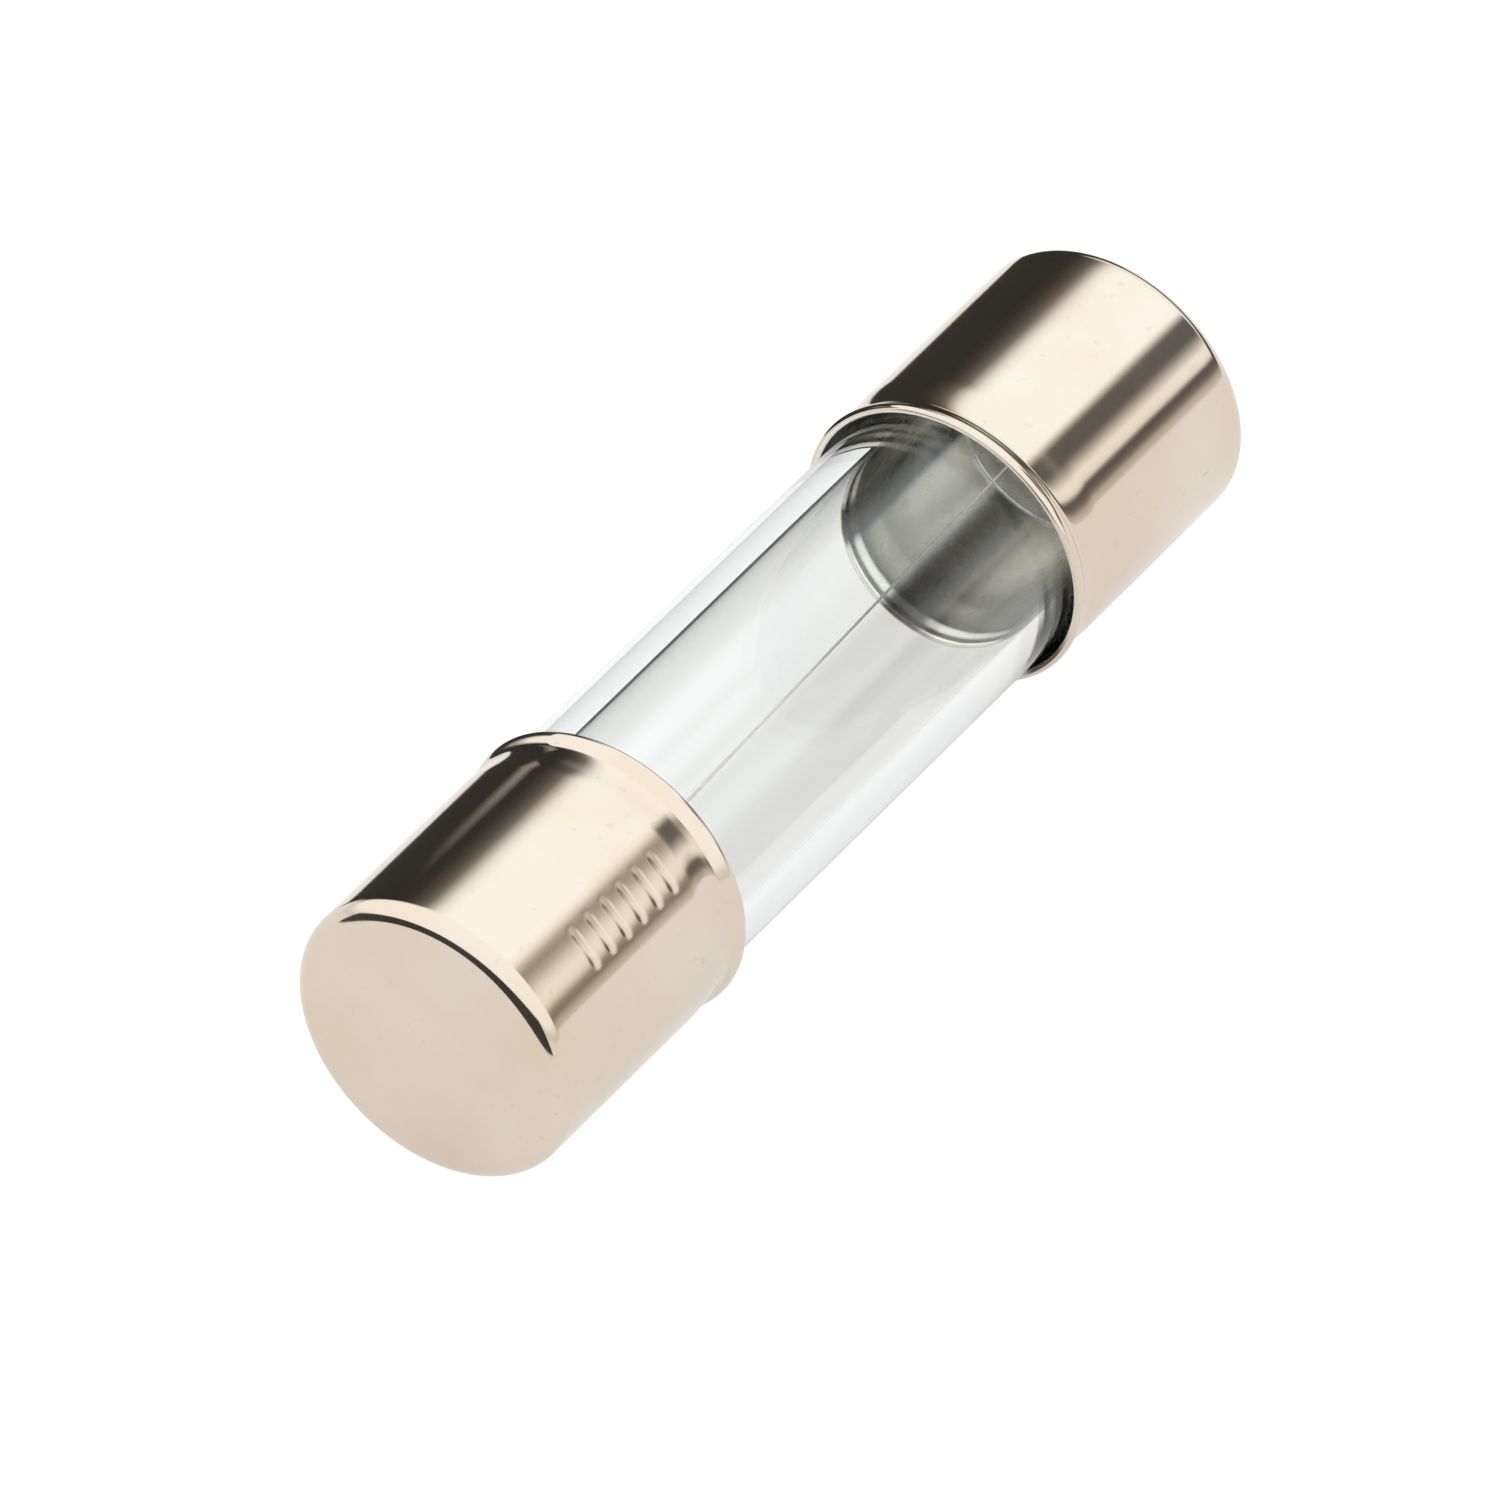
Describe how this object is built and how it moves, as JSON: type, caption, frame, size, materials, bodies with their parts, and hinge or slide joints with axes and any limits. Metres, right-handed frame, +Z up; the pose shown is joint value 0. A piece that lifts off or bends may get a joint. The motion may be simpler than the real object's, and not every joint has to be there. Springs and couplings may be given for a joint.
{
  "type": "cartridge fuse",
  "caption": "Miniature glass cartridge fuse: a clear tube with a fine wire inside and a nickel-plated metal cap on each end.",
  "frame": {"origin": "centre of the fuse, half way along its axis", "axes": "+X along the fuse's axis from the front cap to the rear cap, +Z up when it lies on a surface, +Y across"},
  "size_m": [0.02, 0.0052, 0.0052],
  "materials": {
    "clear_glass": "polished",
    "nickel_plate": "polished",
    "wire_metal": "satin",
    "solder": "satin"
  },
  "bodies": {
    "root": {"glass_tube": "clear_glass", "front_end_cap": "nickel_plate", "rear_end_cap": "nickel_plate", "fuse_wire": "wire_metal", "front_solder_joint": "solder", "rear_solder_joint": "solder"}
  },
  "joints": []
}
